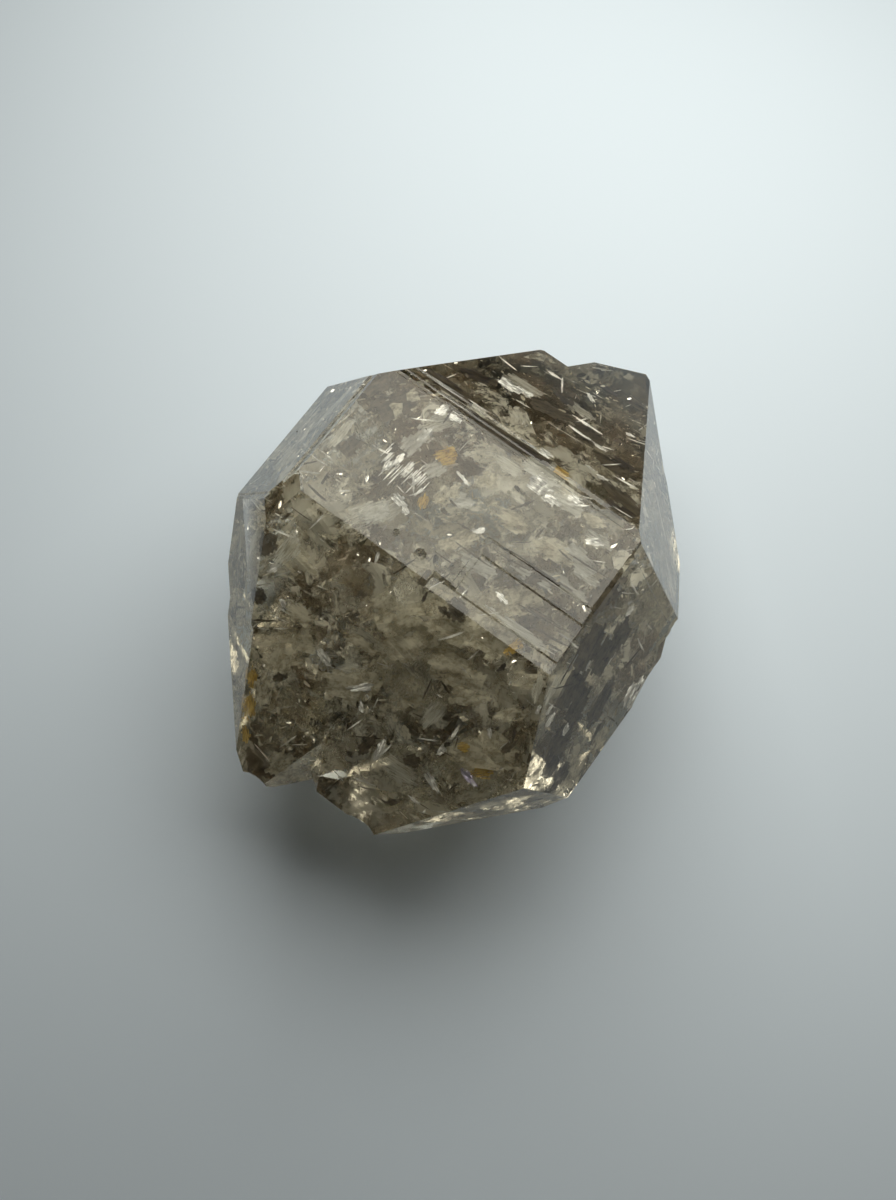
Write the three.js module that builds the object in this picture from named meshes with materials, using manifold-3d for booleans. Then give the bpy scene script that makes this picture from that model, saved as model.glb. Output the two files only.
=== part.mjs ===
// A doubly terminated smoky quartz crystal, lying on one of its prism faces.
//
// Quartz grows with fixed angles between its faces, so the crystal is worked out as the real one is: every
// face is a plane with a crystallographic direction, and only its distance from the middle of the crystal is
// its own. Two crystals stand side by side in the same direction and are one solid, which leaves a notch
// between their tips at each end. Ledges are left where a layer of growth stops short of the edge of a face.
//
// Millimetres. The long axis of the crystal runs along X, and Z is up.

import * as THREE from 'three';
import { ConvexGeometry } from 'three/addons/geometries/ConvexGeometry.js';
import { mergeVertices } from 'three/addons/utils/BufferGeometryUtils.js';
import Module from 'manifold-3d';

const wasm = await Module();
wasm.setup();

// Size of the crystal between its flat sides
const THICKNESS = 22;
const TOP = THICKNESS / 2;

// Angle between the long axis and each kind of face, in degrees, and the end of the crystal that it is at
const FACE_KINDS = {
  side: { lean: 90, end: 1 },
  far: { lean: 51.79, end: 1 },
  near: { lean: 51.79, end: -1 },
  corner: { lean: 65.56, end: -1 },
  rim: { lean: 46.4, end: -1 },
};

// The number in a name is the turn of the face around the long axis, in degrees from the top. The value is
// its distance from the middle.
const SHARED_FACES = {
  side0: TOP,
  side30: 13.81,
  side60: 13.09,
  side120: 10.95,
  side180: TOP,
  side240: 10.75,
  side300: 14.5,
  far0: 13.29,
  far60: 14.5,
  far120: 14.6,
  far240: 12.4,
  near0: 10.16,
  near240: 13.3,
  near300: 13.62,
  corner330: 13.95,
};

// The tips of the crystal on the left, at +Y, and of the one on the right, at -Y
const LEFT_TIPS = { far180: 7.9, far300: 15.2, near60: 8.75, near120: 9.4, near180: 10.9 };
const RIGHT_TIPS = { far180: 13.5, far300: 13.77, near120: 13.3, near180: 8.75, near300: 9.2, rim81: 14.55 };

// Ledges. Each is what has not grown beyond all of its faces.
const LEDGES = [
  { side120: 9.6, far120: 10.87 },
  { side0: 10.94, near0: 7.46, side60: 6.5 },
  { side0: 10.86, near0: 8.1, side60: 6.8 },
  { side0: 10.78, near0: 9.7, side60: 5.4 },
  { side0: 10.95, far0: 13.0 },
  { side0: 10.7, far0: 13.12, far300: 5 },
  { side0: 10.3, far0: 13.2, far300: 8.4 },
  { side300: 14.38, side0: 10.2, near0: -4 },
  { side300: 14.42, near300: 13.4 },
  { side60: 13.0, far60: 14.0 },
  { near300: 13.46, near240: 9.5, near0: 4 },
  { side180: 10.85, near180: 9.8 },
  { near240: 12.7, side240: 9.4 },
  { far120: 14.3, far180: 9.8 },
];

// Chips and pits. Each is the middle of a hollow on the surface, the way that it faces, its radius across
// the surface and its depth.
const HOLLOWS = [
  { at: [2.4, -14.0, 1.1], faces: [0.1, -1, 0.1], radius: 3.1, depth: 0.3 },
  { at: [5.6, -13.4, 2.8], faces: [0.35, -1, 0], radius: 1.4, depth: 0.3 },
  { at: [21.4, -3.6, 0.2], faces: [1, -0.35, 0.2], radius: 1.3, depth: 0.25 },
  { at: [17.1, 6.2, 3.6], faces: [1, 0.2, 0.3], radius: 1.1, depth: 0.25 },
  { at: [-16.95, 2.6, -0.6], faces: [-1, 0.1, 0.1], radius: 1.0, depth: 0.2 },
  { at: [-15.4, -3.9, 0.6], faces: [-1, -0.2, 0.2], radius: 1.2, depth: 0.25 },
  { at: [-1.39, 1.36, 11], faces: [0, 0, 1], radius: 0.38, depth: 0.22 },
  { at: [-1.14, 3.3, 11], faces: [0, 0, 1], radius: 0.22, depth: 0.14 },
];

function planeOf(name, distance) {
  const [, kind, turn] = name.match(/^([a-z]+)(\d+)$/);
  const around = THREE.MathUtils.degToRad(Number(turn));
  const away = THREE.MathUtils.degToRad(FACE_KINDS[kind].lean);
  const normal = new THREE.Vector3(
    FACE_KINDS[kind].end * Math.cos(away),
    -Math.sin(around) * Math.sin(away),
    Math.cos(around) * Math.sin(away),
  );
  return { normal, distance };
}

// Where three faces meet, or null where two of them are parallel
function meetingPoint(a, b, c) {
  const bc = b.normal.clone().cross(c.normal);
  const shared = a.normal.dot(bc);
  if (Math.abs(shared) < 1e-6) return null;
  const ca = c.normal.clone().cross(a.normal);
  const ab = a.normal.clone().cross(b.normal);
  return bc
    .multiplyScalar(a.distance)
    .addScaledVector(ca, b.distance)
    .addScaledVector(ab, c.distance)
    .divideScalar(shared);
}

// A block that every set of faces is closed with, far outside the crystal
const ROOM = 50;
const room = [[1, 0, 0], [0, 1, 0], [0, 0, 1]].flatMap((axis) => [
  { normal: new THREE.Vector3(...axis), distance: ROOM },
  { normal: new THREE.Vector3(...axis).negate(), distance: ROOM },
]);

// The solid that lies inside every plane
function solidInside(planes) {
  const found = [];
  for (let i = 0; i < planes.length; i += 1) {
    for (let j = i + 1; j < planes.length; j += 1) {
      for (let k = j + 1; k < planes.length; k += 1) {
        const point = meetingPoint(planes[i], planes[j], planes[k]);
        const kept = point && planes.every((p) => p.normal.dot(point) < p.distance + 1e-6);
        if (kept && !found.some((other) => other.distanceTo(point) < 1e-4)) found.push(point);
      }
    }
  }
  return toSolid(new ConvexGeometry(found));
}

function within(faces) {
  const planes = Object.entries(faces).map(([name, distance]) => planeOf(name, distance));
  return solidInside([...planes, ...room]);
}

function beyond(faces) {
  const planes = Object.entries(faces).map(([name, distance]) => planeOf(name, distance));
  const turned = planes.map((p) => ({ normal: p.normal.negate(), distance: -p.distance }));
  return solidInside([...turned, ...room]);
}

function toSolid(geometry) {
  const bare = geometry.clone();
  bare.deleteAttribute('normal');
  bare.deleteAttribute('uv');
  const merged = mergeVertices(bare, 1e-4);
  return new wasm.Manifold(new wasm.Mesh({
    numProp: 3,
    vertProperties: Float32Array.from(merged.attributes.position.array),
    triVerts: Uint32Array.from(merged.index.array),
  }));
}

function toGeometry(solid) {
  const { vertProperties, triVerts } = solid.getMesh();
  const geometry = new THREE.BufferGeometry();
  geometry.setAttribute('position', new THREE.BufferAttribute(vertProperties, 3));
  geometry.setIndex(new THREE.BufferAttribute(triVerts, 1));
  const flat = geometry.toNonIndexed();
  flat.computeVertexNormals();
  return flat;
}

// A bowl with faint rings, as quartz breaks, standing on its open side
function hollowOut({ at, faces, radius, depth }) {
  const profile = [];
  for (let i = 0; i <= 12; i += 1) {
    const across = i / 12;
    const ring = 0.05 * depth * Math.sin(across * Math.PI * 6);
    profile.push(new THREE.Vector2(radius * across, -depth * (1 - across * across) + ring));
  }
  profile[0].x = 0;
  profile.push(new THREE.Vector2(radius * 1.3, depth), new THREE.Vector2(0, depth * 2));
  const bowl = new THREE.LatheGeometry(profile, 28);
  const outward = new THREE.Vector3(...faces).normalize();
  bowl.applyQuaternion(new THREE.Quaternion().setFromUnitVectors(new THREE.Vector3(0, 1, 0), outward));
  bowl.translate(...at);
  return toSolid(bowl);
}

const bothTips = within(LEFT_TIPS).add(within(RIGHT_TIPS));
const grown = within(SHARED_FACES).intersect(bothTips);
const ledged = LEDGES.reduce((solid, ledge) => solid.subtract(beyond(ledge)), grown);
const crystal = HOLLOWS.reduce((solid, hollow) => solid.subtract(hollowOut(hollow)), ledged);

const smokyQuartz = new THREE.MeshStandardMaterial({ color: 0x8a8172, roughness: 0.08, metalness: 0 });
const mesh = new THREE.Mesh(toGeometry(crystal), smokyQuartz);
mesh.name = 'quartz_crystal';

// The crystal lies with its lowest face on the ground and its middle over the origin
mesh.geometry.computeBoundingBox();
const { min, max } = mesh.geometry.boundingBox;
mesh.position.set(-(min.x + max.x) / 2, -(min.y + max.y) / 2, -min.z);

const part = new THREE.Group();
part.add(mesh);

export default part;
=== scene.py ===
import math
import random

import bmesh
import bpy
from mathutils import Matrix, Vector, noise
from mathutils.bvhtree import BVHTree


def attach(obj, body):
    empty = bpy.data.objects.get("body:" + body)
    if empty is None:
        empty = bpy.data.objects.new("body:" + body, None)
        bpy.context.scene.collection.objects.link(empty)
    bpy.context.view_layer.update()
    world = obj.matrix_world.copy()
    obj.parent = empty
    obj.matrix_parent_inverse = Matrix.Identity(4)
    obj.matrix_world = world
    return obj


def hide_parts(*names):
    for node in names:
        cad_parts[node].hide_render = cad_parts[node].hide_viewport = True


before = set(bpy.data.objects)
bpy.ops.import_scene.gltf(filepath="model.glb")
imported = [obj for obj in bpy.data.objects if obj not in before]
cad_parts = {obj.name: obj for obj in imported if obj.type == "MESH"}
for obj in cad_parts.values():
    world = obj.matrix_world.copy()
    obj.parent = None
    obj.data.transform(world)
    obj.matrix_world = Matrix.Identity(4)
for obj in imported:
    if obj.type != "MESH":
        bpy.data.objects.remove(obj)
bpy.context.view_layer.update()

# Crystal: one doubly terminated smoky quartz, grown, never cut. Its faces are natural growth faces with a
# fine striation across the prism, and its edges are worn a little from the rock and from handling.

MM = 0.001
# The middle of the crystal, which its faces are measured from
MIDDLE = Vector((-2.284, -0.349, 11.0)) * MM
IOR = 1.544
# Smoke in the quartz: how dense it is, and the colour that it lets through
SMOKE_DENSITY = 27.0
SMOKE_COLOR = (0.66, 0.575, 0.36, 1)
# Faces that meet at a wider angle than this have a worn edge, and this is how wide it is
WORN_ANGLE = math.radians(24)
WORN_WIDTH = 0.05 * MM
# Facets closer in angle than this are one face
FLAT_ANGLE = math.radians(0.3)


def new_object(name, bm):
    mesh = bpy.data.meshes.new(name)
    bm.to_mesh(mesh)
    bm.free()
    obj = bpy.data.objects.new(name, mesh)
    bpy.context.scene.collection.objects.link(obj)
    return obj


def new_material(name):
    material = bpy.data.materials.new(name)
    material.use_nodes = True
    tree = material.node_tree
    return material, tree, tree.nodes["Principled BSDF"]


def add(tree, kind, **settings):
    """A new node. Each setting goes to the input of that name, or else to the node itself."""
    node = tree.nodes.new(kind)
    for key, value in settings.items():
        if key in node.inputs:
            node.inputs[key].default_value = value
        else:
            setattr(node, key, value)
    return node


def texture(tree, kind, where, **settings):
    """A new texture or Mapping node that reads its place from that output."""
    node = add(tree, kind, **settings)
    tree.links.new(where, node.inputs["Vector"])
    return node


cad_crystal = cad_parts["quartz_crystal"]
bm = bmesh.new()
bm.from_mesh(cad_crystal.data)
bm.transform(cad_crystal.matrix_world)
bmesh.ops.remove_doubles(bm, verts=bm.verts, dist=1e-7)
bmesh.ops.dissolve_limit(bm, angle_limit=FLAT_ANGLE, verts=bm.verts, edges=bm.edges)
sharp = [e for e in bm.edges if len(e.link_faces) == 2 and e.calc_face_angle() > WORN_ANGLE]
bmesh.ops.bevel(
    bm, geom=sharp, offset=WORN_WIDTH, offset_type="OFFSET", affect="EDGES", segments=1, profile=0.5,
    clamp_overlap=True, material=-1,
)
bmesh.ops.triangulate(bm, faces=bm.faces)
bmesh.ops.recalc_face_normals(bm, faces=bm.faces)
inside_tree = BVHTree.FromBMesh(bm)
crystal = new_object("crystal", bm)

clear, tree, shader = new_material("smoky_quartz")
shader.inputs["Base Color"].default_value = (1.0, 0.99, 0.95, 1)
shader.inputs["Transmission Weight"].default_value = 1.0
shader.inputs["IOR"].default_value = IOR
coords = add(tree, "ShaderNodeTexCoord")
across_prism = texture(tree, "ShaderNodeMapping", coords.outputs["Object"], Scale=(2600, 160, 160))
striation = texture(
    tree, "ShaderNodeTexNoise", across_prism.outputs["Vector"], Scale=1.0, Detail=4.0, Roughness=0.6
)
etch = texture(
    tree, "ShaderNodeTexNoise", coords.outputs["Object"], Scale=420.0, Detail=6.0, Roughness=0.62
)
dull = add(tree, "ShaderNodeMapRange", **{"From Min": 0.35, "From Max": 0.75, "To Min": 0.0, "To Max": 0.04})
tree.links.new(etch.outputs["Fac"], dull.inputs["Value"])
tree.links.new(dull.outputs["Result"], shader.inputs["Roughness"])
bump = add(tree, "ShaderNodeBump", Strength=0.1, Distance=0.00004)
tree.links.new(striation.outputs["Fac"], bump.inputs["Height"])
tree.links.new(bump.outputs["Normal"], shader.inputs["Normal"])
smoke = add(tree, "ShaderNodeVolumeAbsorption", Density=SMOKE_DENSITY, Color=SMOKE_COLOR)
tree.links.new(smoke.outputs["Volume"], tree.nodes["Material Output"].inputs["Volume"])
crystal.data.materials.append(clear)
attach(crystal, "root")
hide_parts("quartz_crystal")

# Healed cracks: curved sheets where the crystal cracked and grew together again while it was in the rock.
# They are films of tiny bubbles and thin gaps, pale and silky in patches and clear in between.

HEALED_DEPTH = 0.12 * MM
HEALED_DARK = (0.44, 0.38, 0.265, 1)
HEALED_PALE = (0.84, 0.81, 0.70, 1)
# Each sheet: its middle in millimetres, the way that it faces, its half width and the height of its waves
HEALED_SHEETS = (
    ((-6.0, 3.5, 16.0), (-0.5, 0.1, 0.9), 6.0, 1.2),
    ((-9.5, -3.0, 14.5), (-0.7, -0.2, 0.7), 6.5, 1.4),
    ((-4.0, -5.5, 15.5), (-0.2, -0.4, 0.9), 6.0, 1.3),
    ((3.0, 3.5, 19.0), (0.2, 0.3, 0.9), 5.0, 0.8),
    ((3.5, -4.5, 18.6), (0.1, -0.2, 1.0), 5.0, 0.9),
    ((9.5, 0.5, 13.5), (0.6, 0.1, 0.8), 6.0, 1.2),
    ((0.0, 0.0, 12.0), (0.1, -0.3, 0.9), 10.0, 2.0),
    ((-9.0, 5.0, 11.0), (-0.4, 0.6, 0.7), 6.0, 1.2),
    ((-1.0, -9.0, 12.0), (0.1, -0.8, 0.6), 6.0, 1.2),
    ((4.0, 5.0, 8.0), (0.4, 0.2, 0.9), 9.0, 2.0),
    ((-6.0, -4.0, 8.0), (-0.4, -0.3, 0.9), 8.0, 1.8),
    ((-12.0, -4.0, 9.0), (-0.4, -0.1, 0.9), 6.0, 1.0),
    ((-10.0, 4.0, 8.5), (-0.3, 0.1, 0.9), 6.0, 1.0),
    ((-2.0, -5.0, 6.0), (0.0, -0.2, 1.0), 8.0, 1.0),
    ((-11.5, -1.0, 5.5), (-0.2, 0.0, 1.0), 7.0, 1.0),
    ((0.0, 0.0, 4.0), (0.0, 0.1, 1.0), 12.0, 1.0),
    ((9.0, -1.0, 7.0), (0.2, 0.1, 1.0), 8.0, 1.0),
    ((-4.0, -2.0, 2.5), (0.0, 0.0, 1.0), 14.0, 0.5),
    ((-9.0, 0.0, 10.5), (-0.4, 0.0, 1.0), 7.0, 1.2),
    ((-6.0, -8.0, 9.5), (-0.2, -0.3, 1.0), 6.0, 1.0),
)


def depth_inside(point):
    """How deep a place lies under the crystal's skin, or less than 0 outside it."""
    distance = inside_tree.find_nearest(point)[3]
    crossings = 0
    start = point.copy()
    # A slanted ray, so that it doesn't run along a face
    ray = Vector((0.31, 0.22, 0.925)).normalized()
    while True:
        hit = inside_tree.ray_cast(start, ray)[0]
        if hit is None:
            return distance if crossings % 2 else -distance
        crossings += 1
        start = hit + ray * 1e-7


def keep_inside(bm, margin):
    """Removes what is closer than margin to the crystal's skin, or outside it."""
    gone = [v for v in bm.verts if depth_inside(v.co) < margin]
    bmesh.ops.delete(bm, geom=gone, context="VERTS")


def turned(facing, spin):
    """The turn that spins around Z and then points Z that way."""
    return Vector(facing).to_track_quat("Z", "Y").to_matrix().to_4x4() @ Matrix.Rotation(spin, 4, "Z")


def curved_sheet(bm, middle, facing, spin, size, wave, seed, cuts=44):
    """A sheet of that half width, in millimetres, bent by slow waves, with its middle at that place."""
    place = turned(facing, spin)
    made = bmesh.ops.create_grid(bm, x_segments=cuts, y_segments=cuts, size=size)["verts"]
    for v in made:
        slow = noise.noise(v.co * (1.6 / size) + Vector((seed, 0, 0)))
        quick = noise.noise(v.co * (5.5 / size) + Vector((0, seed, 0)))
        ring = math.sin(v.co.length * 7.0 / size * 2.2 + seed)
        v.co.z = wave * (slow + 0.22 * quick + 0.05 * ring)
        v.co = (place @ v.co + Vector(middle)) * MM


def weighted_sum(tree, value, weight, other):
    """value times weight, plus other."""
    total = add(tree, "ShaderNodeMath", operation="MULTIPLY_ADD")
    tree.links.new(value, total.inputs[0])
    total.inputs[1].default_value = weight
    tree.links.new(other, total.inputs[2])
    return total.outputs["Value"]


def cover(tree, shader, value, low, high, most):
    """Opacity that rises from none to most while the value rises from low to high."""
    rising = add(tree, "ShaderNodeMapRange", **{"From Min": low, "From Max": high, "To Max": most})
    tree.links.new(value, rising.inputs["Value"])
    tree.links.new(rising.outputs["Result"], shader.inputs["Alpha"])


def tint(tree, shader, value, low, high, start=0.0, end=1.0):
    """A base colour that goes from low to high while the value goes from start to end."""
    tone = add(tree, "ShaderNodeValToRGB")
    tone.color_ramp.elements[0].position = start
    tone.color_ramp.elements[0].color = low
    tone.color_ramp.elements[1].position = end
    tone.color_ramp.elements[1].color = high
    tree.links.new(value, tone.inputs["Fac"])
    tree.links.new(tone.outputs["Color"], shader.inputs["Base Color"])
    return tone


def patchy(tree, shader, size, low, high, most):
    """Opacity in sharp-edged patches of that size in millimetres. Gives the clouds that it comes from."""
    place = add(tree, "ShaderNodeTexCoord").outputs["Object"]
    clouds = texture(
        tree, "ShaderNodeTexNoise", place, Scale=1000.0 / size, Detail=4.0, Roughness=0.68, Distortion=0.6
    )
    cells = texture(tree, "ShaderNodeTexVoronoi", place, Scale=3600.0 / size)
    zones = texture(tree, "ShaderNodeTexNoise", place, Scale=240.0 / size, Detail=0.0)
    mixed = weighted_sum(tree, zones.outputs["Fac"], 0.6, clouds.outputs["Fac"])
    broken = weighted_sum(tree, cells.outputs["Color"], 0.13, mixed)
    cover(tree, shader, broken, low, high, most)
    return clouds.outputs["Fac"]


random.seed(11)
bm = bmesh.new()
for i, (middle, facing, size, wave) in enumerate(HEALED_SHEETS):
    curved_sheet(bm, middle, facing, random.uniform(0, 3), size, wave, i * 3.7)
keep_inside(bm, HEALED_DEPTH)
veils = new_object("healed_cracks", bm)
frost, tree, shader = new_material("healed_crack")
shader.inputs["Roughness"].default_value = 0.4
clouds = patchy(tree, shader, 2.0, 0.90, 1.0, 0.8)
tint(tree, shader, clouds, HEALED_DARK, HEALED_PALE, 0.38, 0.58)
veils.data.materials.append(frost)
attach(veils, "root")

# Smoky zones: layers where natural radiation browned the quartz more than around them. They have soft edges,
# and lie along old faces of the crystal, deep inside it.

SMOKY_DEPTH = 0.3 * MM
SMOKY_DARK = (0.068, 0.041, 0.018, 1)
SMOKY_PALE = (0.31, 0.21, 0.11, 1)
# Each layer: its middle in millimetres, the way that it faces, its half width and the height of its waves
SMOKY_LAYERS = (
    ((-7.5, -2.0, 13.5), (-0.6, 0, 0.8), 8.0, 0.8),
    ((-10.0, 1.0, 9.5), (-0.6, 0, 0.8), 7.0, 0.8),
    ((-2.0, -7.5, 14.0), (0, -0.8, 0.5), 6.0, 0.6),
    ((9.5, -3.0, 12.0), (0.6, 0, 0.8), 7.0, 0.6),
    ((7.0, 4.0, 13.5), (0.6, 0, 0.8), 6.0, 0.6),
    ((1.0, 1.0, 9.5), (0, 0, 1), 11.0, 0.8),
)

bm = bmesh.new()
for i, (middle, facing, size, wave) in enumerate(SMOKY_LAYERS):
    curved_sheet(bm, middle, facing, random.uniform(0, 3), size, wave, 40 + i * 5.1)
keep_inside(bm, SMOKY_DEPTH)
zones = new_object("smoky_zones", bm)
brown, tree, shader = new_material("smoky_zone")
shader.inputs["Roughness"].default_value = 0.6
clouds = patchy(tree, shader, 5.5, 0.72, 1.2, 0.85)
tint(tree, shader, clouds, SMOKY_DARK, SMOKY_PALE)
zones.data.materials.append(brown)
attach(zones, "root")

# Open cracks: curved plates of air a hair's breadth thick, as glass cracks inside. Each spreads from one
# corner, with fine hackle lines along its spread, and is silvery where the light catches it.

PLATES = 220
PLATE_DEPTH = 0.1 * MM
# How far from its corner a plate begins, in half widths, and how far it fans out to each side, in radians
PLATE_START = 0.25
PLATE_FAN = 0.62
HACKLE_DARK = (0.10, 0.075, 0.040, 1)
HACKLE_MIDDLE = (0.46, 0.41, 0.29, 1)
HACKLE_BRIGHT = (0.95, 0.93, 0.86, 1)


def crack_plate(bm, middle, facing, spin, half, bend, seed, cuts=12):
    """A ragged curved plate. Its UV map holds the angle and the distance from the corner it spreads from."""
    place = turned(facing, spin)
    made = bmesh.ops.create_grid(bm, x_segments=cuts, y_segments=cuts, size=half)["verts"]
    layer = bm.loops.layers.uv.verify()
    ragged = []
    spread = {}
    for v in made:
        x, y = v.co.x / half, v.co.y / half
        away = math.hypot(x + 1.0, y + 1.0)
        angle = math.atan2(y + 1.0, x + 1.0)
        spread[v] = (angle * 1.5 + seed, away + seed * 0.37)
        reach = 1.55 + 0.6 * noise.noise(Vector((angle * 2.5, seed, 0)))
        side = abs(angle - math.pi / 4) + 0.25 * noise.noise(Vector((away * 3.0, seed, 5)))
        if away > reach or away < PLATE_START or side > PLATE_FAN:
            ragged.append(v)
        ripple = 0.25 * noise.noise(Vector((x * 1.5, y * 1.5, seed)))
        v.co.z = half * bend * (0.5 * x * x + 0.35 * y * y + ripple)
        v.co = (place @ v.co + Vector(middle)) * MM
    for v in made:
        for loop in v.link_loops:
            loop[layer].uv = spread[v]
    bmesh.ops.delete(bm, geom=ragged, context="VERTS")


random.seed(31)
bm = bmesh.new()
count = 0
while count < PLATES:
    p = Vector((random.uniform(-18, 19), random.uniform(-13, 13), random.uniform(2, 21.5)))
    under = depth_inside(p * MM) / MM
    if not 0.3 < under < 6.0:
        continue
    # The lower end of the crystal is the most cracked, and the cracks stand in crowds
    if noise.noise(p * 0.3) + 0.03 * (-4.0 - p.x) < random.uniform(-0.35, 0.3):
        continue
    way = Vector((random.gauss(-0.1, 0.6), random.gauss(0.0, 0.6), 1.0))
    half = 0.25 + 2.2 * random.random() ** 4
    spin = random.uniform(0, 6.28)
    bend = random.uniform(-0.5, 0.5)
    crack_plate(bm, p, way, spin, half, bend, random.uniform(0, 50))
    count += 1
keep_inside(bm, PLATE_DEPTH)
cracks = new_object("open_cracks", bm)
hackled, tree, shader = new_material("open_crack")
shader.inputs["Metallic"].default_value = 0.55
shader.inputs["Roughness"].default_value = 0.25
spread_map = add(tree, "ShaderNodeUVMap").outputs["UV"]
stretch = texture(tree, "ShaderNodeMapping", spread_map, Scale=(34, 4.5, 1))
hackle = texture(
    tree, "ShaderNodeTexNoise", stretch.outputs["Vector"], Scale=1.0, Detail=4.0, Roughness=0.7
)
blotch = texture(tree, "ShaderNodeTexNoise", spread_map, Scale=7.0, Detail=3.0, Roughness=0.65)
both = weighted_sum(tree, hackle.outputs["Fac"], 1.0, blotch.outputs["Fac"])
cover(tree, shader, both, 0.97, 1.05, 0.95)
tone = tint(tree, shader, hackle.outputs["Fac"], HACKLE_DARK, HACKLE_BRIGHT, 0.3, 0.68)
tone.color_ramp.elements.new(0.47).color = HACKLE_MIDDLE
relief = add(tree, "ShaderNodeBump", Strength=0.5, Distance=0.00015)
tree.links.new(both, relief.inputs["Height"])
tree.links.new(relief.outputs["Normal"], shader.inputs["Normal"])
cracks.data.materials.append(hackled)
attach(cracks, "root")

# Open flakes: small unhealed cracks. They are thin gaps that shine like mirrors where they are smooth and are
# silky where they are rough. The dark ones are painted shade: flakes given a dark colour at random, which
# stands in for cracks turned away from the light.

# Places tried for a flake. About half of them lie in a crowd and get one.
FLAKE_TRIES = 9000


def flake(bm, middle, facing, radius):
    """A small sheet with a ragged edge."""
    place = Matrix.Translation(Vector(middle)) @ turned(facing, random.uniform(0, 6))
    sides = random.randint(5, 9)
    made = bmesh.ops.create_circle(bm, cap_ends=True, segments=sides, radius=radius)["verts"]
    long = random.uniform(0.08, 0.6)
    for v in made:
        v.co.x *= random.uniform(0.6, 1.1)
        v.co.y *= long * random.uniform(0.6, 1.1)
        v.co.z += random.uniform(-0.08, 0.08) * radius
        v.co = (place @ v.co) * MM


def inside_point(least, most):
    """A random place inside the crystal, between those depths under its skin, in millimetres."""
    while True:
        p = Vector((random.uniform(-19, 19), random.uniform(-14, 14), random.uniform(0.5, 21.8)))
        if least < depth_inside(p * MM) / MM < most:
            return p


random.seed(23)
shining, silky, dark_and_painted_shade = bmesh.new(), bmesh.new(), bmesh.new()
for _ in range(FLAKE_TRIES):
    p = inside_point(0.15, 5.0)
    crowd = noise.noise(p * 0.25) + 0.4 * noise.noise(p * 0.9)
    if crowd < random.uniform(-0.4, 0.4):
        continue
    way = Vector((random.gauss(0.1, 0.4), random.gauss(0.05, 0.4), 1))
    radius = 0.04 + 0.34 * random.random() ** 5
    flake(random.choice((shining, shining, silky, silky, dark_and_painted_shade)), p, way, radius)
for name, bm, metal, rough, low, high in (
    ("open_flakes", shining, 1.0, 0.12, (0.80, 0.76, 0.68, 1), (0.96, 0.97, 1.0, 1)),
    ("silky_flakes", silky, 0.0, 0.5, (0.40, 0.35, 0.24, 1), (0.80, 0.78, 0.68, 1)),
    # The dark flakes' colour is painted shade
    ("painted_shade_flakes", dark_and_painted_shade, 0.0, 0.4, (0.050, 0.038, 0.024, 1), (0.16, 0.125, 0.080, 1)),
):
    flakes = new_object(name, bm)
    glint, tree, shader = new_material(name)
    shader.inputs["Metallic"].default_value = metal
    shader.inputs["Roughness"].default_value = rough
    place = add(tree, "ShaderNodeTexCoord").outputs["Object"]
    vary = texture(tree, "ShaderNodeTexNoise", place, Scale=900.0, Detail=1.0)
    tint(tree, shader, vary.outputs["Fac"], low, high, 0.3, 0.7)
    flakes.data.materials.append(glint)
    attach(flakes, "root")

# Cracks and stains of this crystal: those that stand out, each in its own place. The silver ones are open
# and mirror the light, and the pale and cloudy ones are healed, except the pale strips along the narrow
# faces, which are painted reflection. The dark ones are partly cracks seen edge-on and smoky quartz and
# partly painted
# shade: the dark growth lines stand in for the shade in the steps that they make on the top face. Haze is
# soft pale clouds. Shade is partly brown smoky quartz and partly painted shade: dark brown sheets that make
# faces look darker. Iron has stained a few cracks yellow.

MARK_DEPTH = 0.04 * MM
# Slivers and hair cracks are this coarse, and too narrow to have a ragged edge
SLIVER_CUTS = 8


def own_sheet(bm, middle, facing, along, length, width, cuts=18):
    """A ragged oval sheet whose UV map runs from -1 to 1 along and across it."""
    up = Vector(facing).normalized()
    right = (Vector(along) - up * up.dot(Vector(along))).normalized()
    place = Matrix((right, up.cross(right), up)).transposed()
    made = bmesh.ops.create_grid(bm, x_segments=cuts, y_segments=cuts // 2, size=1)["verts"]
    layer = bm.loops.layers.uv.verify()
    ragged = []
    for v in made:
        x, y = v.co.x, v.co.y
        for loop in v.link_loops:
            loop[layer].uv = (x, y)
        edge = 0.85 + 0.4 * noise.noise(Vector((x * 2.2, y * 2.2, middle[0] + middle[1])))
        if cuts > SLIVER_CUTS and math.hypot(x, y) > edge:
            ragged.append(v)
        bend = 0.06 * length * (x * x - 0.5) + 0.12 * width * noise.noise(Vector((x, y, middle[0])) * 1.7)
        v.co = (place @ Vector((x * length / 2, y * width / 2, bend)) + Vector(middle)) * MM
    bmesh.ops.delete(bm, geom=ragged, context="VERTS")


# How the camera is turned and where it stands, and where the light comes from
RIGHT = Vector((0.59130, -0.80605, 0.02553))
UP = Vector((0.77206, 0.57494, 0.27085))
BACK = Vector((-0.23300, -0.14045, 0.96228))
CAMERA_PLACE = MIDDLE + BACK * 89.25 * MM
LIGHT_WAY = Vector((0.582, 0.185, 0.792)).normalized()
# The step that places in the picture are counted in, as long as it is at the middle of the crystal
STEP = 0.747 * MM


def bent_inward(way, normal):
    """The way that a ray takes inside the crystal, behind the face with that normal."""
    straight = way.dot(normal)
    return (way - normal * straight) / IOR - normal * math.sqrt(1 - (1 - straight * straight) / IOR ** 2)


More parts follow.
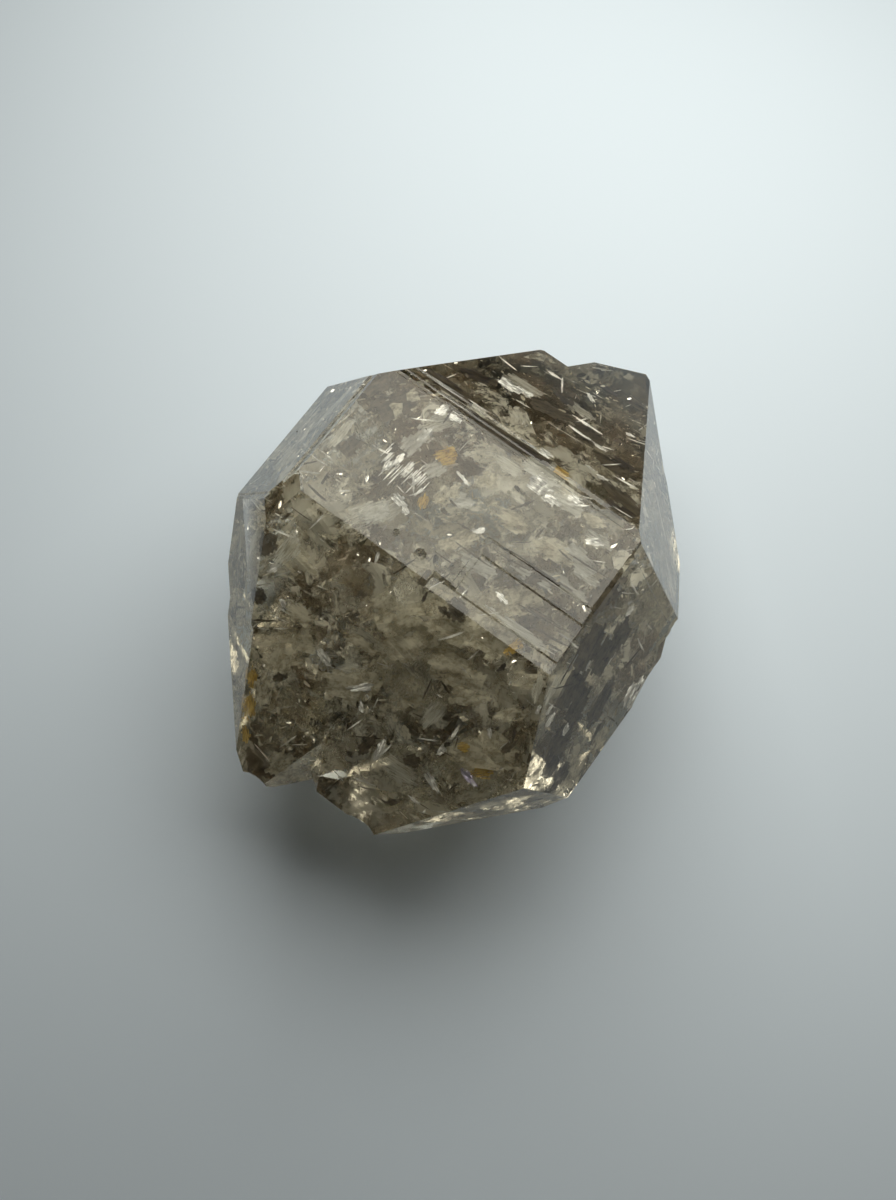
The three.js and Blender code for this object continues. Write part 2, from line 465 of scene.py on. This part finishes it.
def seen_sheet(bm, right, up, depth, length, width, slant):
    """A sheet that shows that many steps right and up of the middle, leaning so that it mirrors the light."""
    spot = MIDDLE + (RIGHT * right + UP * up) * STEP
    way = (spot - CAMERA_PLACE).normalized()
    face, normal = inside_tree.ray_cast(CAMERA_PLACE, way)[:2]
    if face is None:
        return
    sight = bent_inward(way, normal)
    # A face that is hardly lit gives its sheets no light to mirror, so they face between it and the camera
    lit = -bent_inward(-LIGHT_WAY, normal) if LIGHT_WAY.dot(normal) > 0.15 else normal
    slant = math.radians(slant)
    along = RIGHT * math.cos(slant) + UP * math.sin(slant)
    own_sheet(bm, face / MM + sight * depth, lit - sight, along, length, width)


# Each mark is as the camera sees it: how many steps right and up of the middle, its depth, length and width
# in millimetres, and its slant from level in degrees.
MARKS = {
    "silver": (
        # Comb on the top face, and the slivers around it
        (-4.4, 12.5, 1.0, 1.6, 0.5, 50), (-3.6, 11.6, 1.0, 1.5, 0.35, 50), (-2.8, 10.7, 0.9, 1.2, 0.25, 50),
        (-5.4, 12.0, 1.1, 1.2, 0.6, 60), (-2.1, 14.7, 1.3, 1.8, 0.5, 45), (-0.5, 16.9, 0.9, 1.6, 0.8, 30),
        (0.6, 16.2, 0.9, 1.2, 0.6, -30), (-4.3, 8.9, 0.9, 1.3, 0.8, -50), (-3.8, 8.0, 0.9, 0.9, 0.6, -60),
        (1.3, 10.9, 0.9, 1.6, 0.4, -55), (8.2, 10.2, 0.8, 2.0, 1.4, -40), (9.1, 8.9, 0.8, 1.6, 0.8, -40),
        (11.3, 8.9, 0.8, 1.3, 0.7, -40), (13.1, 5.1, 0.8, 1.4, 0.7, -10), (2.8, 6.2, 0.9, 1.2, 0.5, 0),
        # Upper right face
        (5.5, 19.1, 1.2, 2.6, 1.3, -35), (6.8, 18.5, 1.4, 1.8, 0.9, -40), (12.7, 18.0, 1.2, 1.3, 0.45, -80),
        (6.6, 17.5, 0.5, 1.6, 0.12, -35), (11.7, 14.9, 0.9, 2.6, 0.3, -40), (13.5, 13.6, 1.0, 1.3, 0.4, -40),
        (16.2, 14.7, 0.8, 1.0, 0.4, -25), (12.6, 11.8, 0.9, 1.0, 0.3, -40), (13.7, 10.9, 0.9, 0.9, 0.5, -30),
        (8.8, 13.1, 0.9, 1.3, 0.5, -50), (9.5, 20.0, 1.5, 1.4, 0.5, -40), (12.4, 15.6, 0.6, 3.0, 0.35, -38),
        # Lower left face
        (-7.8, -7.8, 1.0, 2.4, 0.7, 8), (-7.7, -9.5, 1.0, 1.2, 0.4, -85), (-0.5, -13.3, 1.4, 1.6, 0.5, 55),
        (0.6, -11.8, 1.4, 1.6, 0.3, 60), (-1.4, -16.2, 1.3, 2.0, 0.6, -60), (3.7, -11.8, 1.2, 1.0, 0.35, -85),
        (9.0, -9.8, 1.2, 0.9, 0.4, 50), (-3.0, -17.8, 1.0, 1.2, 0.3, -35), (-6.1, -13.3, 1.2, 2.0, 0.6, 65),
        (-15.4, 2.9, 0.8, 1.4, 0.6, 35), (-14.7, -0.2, 1.0, 0.9, 0.5, -60), (-11.0, -5.1, 1.2, 1.6, 0.7, -60),
        (-6.3, 3.8, 0.8, 1.2, 0.3, 70), (4.8, 0.2, 0.9, 1.3, 0.5, -50),
        # Lower right face and the rim
        (16.2, -0.9, 0.9, 1.2, 0.7, 40), (16.2, -8.3, 0.8, 2.4, 0.8, 60), (16.8, -8.2, 0.5, 3.6, 0.9, 62),
        (13.3, -3.9, 0.9, 1.6, 0.25, 70), (11.8, -6.6, 1.0, 1.2, 0.3, 70), (9.1, -10.7, 0.6, 1.6, 0.6, 60),
        (10.5, -11.5, 0.6, 1.3, 0.6, 70), (12.5, -5.8, 0.6, 1.2, 0.3, 65),
        # Growth lines that shine
        (1.5, 18.1, 0.25, 8.0, 0.05, -35), (3.1, 16.4, 0.25, 7.0, 0.04, -35),
        (-0.3, 19.1, 0.25, 3.0, 0.05, -35), (10.1, 15.1, 0.3, 4.0, 0.06, -36),
        (0.6, 17.6, 0.3, 5.0, 0.035, -35), (13.1, 14.0, 0.3, 3.0, 0.05, -38),
        (-18.7, 3.6, 0.3, 4.0, 0.07, 88), (-18.3, -2.7, 0.3, 3.5, 0.07, 88),
        (-11.4, 16.0, 0.3, 6.0, 0.05, 48), (-13.2, 15.1, 0.3, 4.0, 0.05, 50),
        (18.9, 11.6, 0.3, 4.0, 0.05, -80),
    ),
    "pale": (
        (-6.9, 7.8, 1.6, 4.2, 2.0, 25), (-9.6, 14.7, 1.2, 3.0, 1.0, 55), (-0.7, 15.8, 1.6, 3.2, 1.6, 20),
        (5.3, 12.0, 1.2, 3.0, 1.4, -35), (9.1, 9.8, 1.4, 3.6, 2.0, -40), (-5.6, 7.6, 1.4, 3.2, 1.4, 35),
        (-14.3, 4.5, 1.4, 3.2, 1.8, 50), (-8.7, -6.2, 1.6, 2.6, 1.2, 10), (-4.3, -15.1, 1.6, 3.4, 2.0, -35),
        (-1.2, -10.2, 1.6, 3.2, 1.3, 50), (6.8, 19.1, 1.8, 4.0, 1.8, -35), (11.7, 16.9, 1.8, 3.2, 1.4, -40),
        # The last seven pale marks are painted reflection: pale strips along the narrow faces at the left and
        # the right and along the upper left edge, which make those faces lighter as a reflection of the pale
        # table would
        (9.3, -8.0, 1.6, 3.0, 0.9, 65), (-18.5, 5.3, 0.5, 4.0, 0.5, 87), (-18.0, 0.0, 0.5, 4.5, 0.5, 87),
        (-18.5, -5.3, 0.5, 3.5, 0.5, 88), (-10.1, 17.3, 0.5, 6.0, 0.9, 48), (-14.1, 13.3, 0.5, 5.0, 0.6, 50),
        (19.0, 7.1, 0.5, 5.0, 0.5, -80), (19.8, 1.8, 0.5, 4.0, 0.5, -80),
    ),
    "dark_and_painted_shade": (
        (0.2, 8.9, 0.8, 1.8, 0.2, -50), (1.5, 6.5, 0.7, 1.2, 0.14, -30), (6.2, 9.9, 0.7, 0.7, 0.3, -55),
        (-0.1, 16.2, 0.7, 1.2, 0.17, 60), (8.2, 6.0, 0.7, 1.2, 0.17, 50), (10.4, 4.0, 0.6, 1.4, 0.2, -45),
        (-10.9, 10.9, 0.7, 1.4, 0.25, 60), (-2.5, 4.1, 0.4, 0.45, 0.25, 70), (-6.5, 10.7, 0.9, 0.9, 0.5, -30),
        (-2.1, 0.2, 0.6, 1.0, 0.3, 60), (-0.1, -12.9, 1.2, 0.7, 0.4, 50), (4.8, -6.0, 1.0, 1.0, 0.4, 40),
        (5.9, -11.8, 1.2, 1.6, 0.25, 80),
        # Growth lines that end on the top face: their dark colour is painted shade, the shade in the steps
        # that they make
        (7.4, 2.9, 0.35, 7.2, 0.31, -33), (2.2, 4.1, 0.35, 3.5, 0.14, -38), (-0.4, 3.8, 0.35, 1.8, 0.14, -38),
        (8.7, -3.0, 0.35, 4.0, 0.22, -33), (5.7, 3.5, 0.35, 3.2, 0.11, -33),
        (9.3, -4.1, 0.35, 1.8, 0.17, -33), (12.4, 3.1, 0.35, 3.6, 0.2, -36),
        (7.7, -1.2, 0.35, 3.4, 0.17, -33), (10.0, -0.6, 0.35, 4.0, 0.14, -34),
        # Upper right face, along its lower edge and near its tip
        (0.7, 17.5, 0.3, 8.0, 0.22, -35), (5.3, 14.5, 0.8, 6.5, 1.3, -35), (2.4, 16.2, 0.4, 6.0, 0.17, -35),
        (7.3, 12.9, 0.6, 3.5, 0.6, -35), (-0.7, 19.3, 0.9, 3.5, 1.2, -35), (2.4, 20.0, 1.0, 2.6, 1.2, -20),
        (10.4, 17.8, 1.2, 2.0, 1.0, -40), (15.5, 8.0, 0.9, 3.0, 1.0, -40), (15.7, 12.0, 1.2, 2.4, 1.0, -40),
        (14.2, 18.7, 1.2, 2.0, 0.8, -40),
        # Narrow faces at the left and the right, and the lower right face
        (19.2, 8.9, 0.3, 4.0, 0.11, -78), (18.4, 4.9, 0.3, 3.0, 0.11, -70), (-18.2, 2.2, 0.4, 2.5, 0.17, 88),
        (-12.5, 14.7, 0.3, 5.0, 0.08, 48), (16.2, -9.4, 0.3, 3.6, 0.2, 62), (10.9, -5.8, 0.4, 4.0, 0.2, 58),
        (13.3, -3.6, 0.4, 3.4, 0.2, 60),
    ),
    "stain": (
        (-0.1, 12.9, 0.9, 2.2, 1.6, 20), (10.2, 11.4, 0.8, 1.4, 0.9, -40), (-17.7, -9.5, 0.7, 2.4, 1.5, 80),
        (1.4, -13.1, 1.1, 1.2, 0.9, 0), (-2.2, 8.8, 0.9, 1.4, 0.8, 70), (-17.4, -6.9, 0.9, 1.8, 1.0, 80),
        (5.7, -4.4, 1.2, 1.5, 0.9, 30), (3.0, -15.1, 1.5, 2.2, 1.5, 0), (-17.6, -9.4, 0.3, 2.4, 0.9, 88),
        (-18.0, -12.0, 0.3, 2.0, 0.8, 88),
    ),
    "violet": ((1.9, -15.8, 1.1, 1.9, 0.7, -55),),
    "haze": (
        (-4.3, 17.6, 0.7, 3.6, 2.2, 35), (-0.1, 9.4, 0.7, 2.6, 1.5, 40), (5.7, 7.1, 0.8, 3.4, 1.6, -35),
        (1.1, 5.4, 0.8, 4.0, 1.8, 20), (3.3, 10.7, 0.9, 2.0, 1.6, 0), (13.1, 7.1, 0.8, 2.4, 1.2, -35),
        (9.4, 4.4, 0.8, 3.6, 2.0, -35), (11.3, -15.6, 0.5, 3.0, 2.0, 60), (8.6, -17.5, 0.4, 4.0, 1.0, 15),
        (13.5, -12.5, 0.6, 3.0, 1.6, 60), (2.8, -19.1, 0.4, 5.0, 0.9, 12), (-16.5, -8.0, 0.6, 3.0, 1.6, 80),
        (10.6, -15.2, 1.0, 3.4, 2.0, 60),
    ),
    "cloudy": (
        (-6.5, 7.8, 0.9, 2.6, 1.8, 25), (8.6, 11.7, 0.9, 3.8, 2.4, -40), (6.6, -2.8, 0.5, 6.0, 0.8, -37),
        (2.7, 3.1, 0.9, 3.2, 1.6, -30), (11.7, 3.6, 0.9, 3.2, 1.8, -50), (-1.1, 11.6, 0.9, 2.2, 1.4, 30),
        (-2.9, 14.2, 0.9, 3.0, 1.8, 50), (10.9, 8.5, 0.9, 3.0, 1.4, -40), (1.1, 8.9, 0.9, 2.4, 1.4, -20),
        (13.5, 5.3, 0.9, 2.4, 1.0, -40), (13.5, 20.8, 0.9, 3.0, 1.2, 10), (10.1, 1.1, 0.9, 4.0, 1.2, -36),
        (7.5, 2.0, 0.9, 3.4, 1.0, -36), (12.2, 2.2, 0.9, 2.4, 1.0, -45),
    ),
    # Partly brown smoky quartz and partly painted shade: dark brown sheets that darken the upper right and
    # lower right faces and hide bright light seen through the lower right corner
    "smoke_and_painted_shade": (
        # Upper right face
        (15.7, 8.9, 1.5, 5.0, 1.8, -60), (14.6, 12.0, 1.5, 4.0, 2.0, -35), (2.4, 20.0, 1.5, 4.0, 1.4, -15),
        (10.4, 18.5, 1.5, 2.4, 1.4, -35), (5.3, 14.5, 0.6, 8.0, 1.6, -35), (0.2, 18.7, 0.5, 5.0, 1.4, -35),
        (16.8, 17.4, 1.5, 2.4, 1.4, -60), (12.4, 14.7, 1.5, 3.6, 2.4, -35), (9.1, 16.9, 1.5, 4.0, 2.0, -35),
        # Top face, at its upper left and between the growth lines
        (-4.7, 17.5, 0.6, 4.4, 2.4, 25), (-6.2, 19.2, 0.6, 3.0, 1.6, 40), (-8.7, 13.7, 0.6, 2.4, 1.6, 45),
        (8.7, -1.6, 0.5, 3.6, 0.35, -36),
        # Left edge of the lower left face
        (-17.2, 0.5, 0.8, 1.8, 1.4, 0), (-16.0, 4.9, 0.8, 2.4, 1.6, 70),
        # Lower right face
        (15.3, -3.0, 1.5, 2.6, 0.9, 65), (13.3, -11.9, 1.5, 3.0, 0.9, 65), (13.8, -5.1, 1.5, 3.6, 2.4, 60),
        (11.5, -9.5, 1.5, 4.0, 2.4, 60), (9.4, -14.3, 1.5, 3.2, 2.0, 60), (14.7, 1.2, 1.5, 2.6, 1.6, 60),
        (12.6, -4.4, 0.6, 5.0, 2.6, 62), (15.1, -3.6, 0.6, 4.0, 2.0, 62), (11.0, -8.2, 0.6, 4.5, 2.4, 62),
        (13.5, -9.3, 0.7, 4.5, 1.8, 58), (10.0, -12.5, 0.7, 4.0, 2.0, 60), (13.5, 0.0, 0.6, 3.0, 1.6, 50),
        (10.0, -15.6, 0.8, 3.0, 1.6, 60),
    ),
}
# Each finish: metallic, roughness, how streaky, where the alpha starts and where it reaches its most, that
# most, and the darkest and the brightest colour
OWN_FINISH = {
    "silver": (0.5, 0.30, 9.0, 0.20, 0.28, 1.0, (0.16, 0.14, 0.10, 1), (1.0, 1.0, 0.98, 1)),
    "pale": (0.0, 0.5, 14.0, 0.24, 0.42, 0.55, (0.50, 0.47, 0.34, 1), (0.97, 0.96, 0.88, 1)),
    "dark_and_painted_shade": (0.0, 0.5, 3.0, 0.10, 0.24, 0.97, (0.008, 0.005, 0.003, 1), (0.06, 0.04, 0.02, 1)),
    "stain": (0.0, 0.6, 5.0, 0.16, 0.46, 0.80, (0.44, 0.23, 0.02, 1), (0.70, 0.50, 0.13, 1)),
    "haze": (0.0, 0.6, 1.5, 0.05, 0.50, 0.72, (0.42, 0.36, 0.24, 1), (0.80, 0.75, 0.59, 1)),
    "cloudy": (0.0, 0.6, 3.5, 0.08, 0.40, 0.50, (0.55, 0.54, 0.47, 1), (0.90, 0.90, 0.84, 1)),
    # This dark brown finish is painted shade where it darkens a face
    "smoke_and_painted_shade": (0.0, 0.6, 2.0, 0.05, 0.36, 0.93, (0.036, 0.026, 0.014, 1), (0.125, 0.098, 0.060, 1)),
    "violet": (0.5, 0.2, 6.0, 0.15, 0.32, 0.95, (0.30, 0.22, 0.52, 1), (0.96, 0.92, 1.0, 1)),
}
# How many soft clouds lie under the lower left face, and how long and how deep they are in millimetres
SOFT_CLOUDS = {"haze": (34, (2.6, 5.4), (0.9, 2.4)), "smoke_and_painted_shade": (14, (1.2, 2.0), (0.9, 1.6))}
# Where that face shows, in steps from the middle
FACE_RIGHT = (-16.5, 8.0)
FACE_UP = (-18.5, 4.0)
# The patch of slivers side by side: how many, how far apart, and its middle in millimetres
COMB_SLIVERS = 26
COMB_SPACING = 0.13
COMB_MIDDLE = Vector((0.2, 5.1, 20.95))
HAIR_CRACKS = {"silver": 320, "dark_and_painted_shade": 140}
# The ways that the hair cracks face under each of the upper faces, and the three ways that they run
LEAN_SIDE = (0.11, -0.45, 0.88)
LEAN_FAR = (0.34, 0.01, 0.94)
LEAN_NEAR = (-0.18, 0.02, 0.98)
LEAN_TOP = (0.09, 0, 1)
GROWTH_WAYS = ((0.05, -1, -0.02), (0.99, -0.08, -0.09), (0.6, -0.8, 0))


def soft_clouds(bm, count, lengths, depths):
    """Soft clouds all over the lower left face."""
    for _ in range(count):
        right = random.uniform(*FACE_RIGHT)
        up = random.uniform(*FACE_UP)
        length = random.uniform(*lengths)
        depth = random.uniform(*depths)
        width = length * random.uniform(0.5, 0.7)
        seen_sheet(bm, right, up, depth, length, width, random.uniform(-60, 60))


def comb(bm):
    """A patch of slivers side by side, like a comb."""
    for i in range(COMB_SLIVERS):
        across = (i - COMB_SLIVERS // 2) * COMB_SPACING
        place = COMB_MIDDLE + Vector((random.uniform(-0.7, 0.7), across, random.uniform(-0.1, 0.1)))
        way = (random.gauss(0.12, 0.05), random.gauss(0, 0.05), 0.99)
        length = random.uniform(0.5, 1.6)
        width = random.uniform(0.05, 0.12)
        own_sheet(bm, place, way, (0.99, -0.08, -0.12), length, width, SLIVER_CUTS)


def lean_at(p):
    """The way that cracks face in that part of the crystal."""
    if p.y < -8.5:
        return Vector(LEAN_SIDE)
    if p.x > 5:
        return Vector(LEAN_FAR)
    if p.x < -4.5:
        return Vector(LEAN_NEAR)
    return Vector(LEAN_TOP)


def hair_cracks(bm, count):
    """Hair cracks, most of them along the growth lines or straight across them."""
    for _ in range(count):
        p = inside_point(0.25, 2.4)
        way = lean_at(p) + Vector((random.gauss(0, 0.09), random.gauss(0, 0.09), 0))
        along = Vector(random.choice(GROWTH_WAYS))
        along += Vector((random.gauss(0, 0.25), random.gauss(0, 0.25), 0))
        length = random.uniform(0.3, 1.8)
        own_sheet(bm, p, way, along, length, length * random.uniform(0.03, 0.10), SLIVER_CUTS)


def streaky_finish(kind):
    """Streaks along each sheet, which fade out towards its edge."""
    metal, rough, streaky, low, high, most, deep, bright = OWN_FINISH[kind]
    finish, tree, shader = new_material(kind + "_crack")
    shader.inputs["Metallic"].default_value = metal
    shader.inputs["Roughness"].default_value = rough
    coords = add(tree, "ShaderNodeTexCoord")
    # Its place in the crystal gives every sheet streaks of its own
    apart = add(tree, "ShaderNodeVectorMath", operation="SCALE", Scale=900.0)
    tree.links.new(coords.outputs["Object"], apart.inputs[0])
    along = add(tree, "ShaderNodeVectorMath", operation="MULTIPLY_ADD")
    along.inputs[1].default_value = (1.3, streaky, 1.0)
    tree.links.new(coords.outputs["UV"], along.inputs[0])
    tree.links.new(apart.outputs["Vector"], along.inputs[2])
    streaks = texture(
        tree, "ShaderNodeTexNoise", along.outputs["Vector"], Scale=1.0, Detail=4.0, Roughness=0.68
    )
    outward = add(tree, "ShaderNodeVectorMath", operation="DOT_PRODUCT")
    tree.links.new(coords.outputs["UV"], outward.inputs[0])
    tree.links.new(coords.outputs["UV"], outward.inputs[1])
    fade = weighted_sum(tree, outward.outputs["Value"], -0.3, streaks.outputs["Fac"])
    cover(tree, shader, fade, low, high, most)
    tint(tree, shader, streaks.outputs["Fac"], deep, bright, 0.38, 0.6)
    return finish


random.seed(47)
for kind, marks in MARKS.items():
    bm = bmesh.new()
    for mark in marks:
        seen_sheet(bm, *mark)
    if kind in SOFT_CLOUDS:
        soft_clouds(bm, *SOFT_CLOUDS[kind])
    if kind == "silver":
        comb(bm)
    if kind in HAIR_CRACKS:
        hair_cracks(bm, HAIR_CRACKS[kind])
    keep_inside(bm, MARK_DEPTH)
    own = new_object(kind + "_cracks", bm)
    own.data.materials.append(streaky_finish(kind))
    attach(own, "root")

# Floor, light and camera: a plain pale table under one large soft light, seen from nearly above. The light
# is a square softbox that stands close above the crystal.

# Half the width of the table in metres, and how far it lies under the crystal
TABLE_HALF = 1.2
TABLE_GAP = 0.02 * MM
TABLE_LOW = (0.655, 0.735, 0.835, 1)
TABLE_HIGH = (0.705, 0.785, 0.885, 1)
LIGHT_DISTANCE = 77 * MM
LIGHT_SIZE = 102 * MM
LIGHT_WATTS = 0.101
LIGHT_COLOR = (1.0, 0.985, 0.88)
ROOM_LIGHT = 0.005
ROOM_COLOR = (0.88, 0.94, 0.96, 1)
# The camera's sensor width and focal length in millimetres
SENSOR_WIDTH = 36
LENS = 40.296

bm = bmesh.new()
bmesh.ops.create_grid(bm, x_segments=1, y_segments=1, size=TABLE_HALF)
floor = new_object("floor", bm)
floor.location.z = -TABLE_GAP
pale, tree, shader = new_material("pale_table")
shader.inputs["Roughness"].default_value = 0.7
place = add(tree, "ShaderNodeTexCoord").outputs["Object"]
mottle = texture(tree, "ShaderNodeTexNoise", place, Scale=9.0, Detail=2.0)
tint(tree, shader, mottle.outputs["Fac"], TABLE_LOW, TABLE_HIGH)
floor.data.materials.append(pale)

scene = bpy.context.scene
scene.world = bpy.data.worlds.new("room")
scene.world.use_nodes = True
room_light = scene.world.node_tree.nodes["Background"]
room_light.inputs["Color"].default_value = ROOM_COLOR
room_light.inputs["Strength"].default_value = ROOM_LIGHT

light_data = bpy.data.lights.new("softbox", "AREA")
light_data.size = LIGHT_SIZE
light_data.energy = LIGHT_WATTS
light_data.color = LIGHT_COLOR
softbox = bpy.data.objects.new("softbox", light_data)
softbox.location = MIDDLE + LIGHT_WAY * LIGHT_DISTANCE
softbox.rotation_euler = LIGHT_WAY.to_track_quat("Z", "Y").to_euler()
scene.collection.objects.link(softbox)

camera_data = bpy.data.cameras.new("camera")
camera_data.sensor_width = SENSOR_WIDTH
camera_data.lens = LENS
camera_data.clip_start = 1 * MM
camera = bpy.data.objects.new("camera", camera_data)
turn = Matrix((RIGHT, UP, BACK)).transposed().to_4x4()
camera.matrix_world = Matrix.Translation(CAMERA_PLACE) @ turn
scene.collection.objects.link(camera)
scene.camera = camera

scene.view_settings.view_transform = "Standard"
# Light passes in and out through many clear sheets
scene.cycles.max_bounces = 12
scene.cycles.transmission_bounces = 12
scene.cycles.glossy_bounces = 6
scene.cycles.transparent_max_bounces = 20
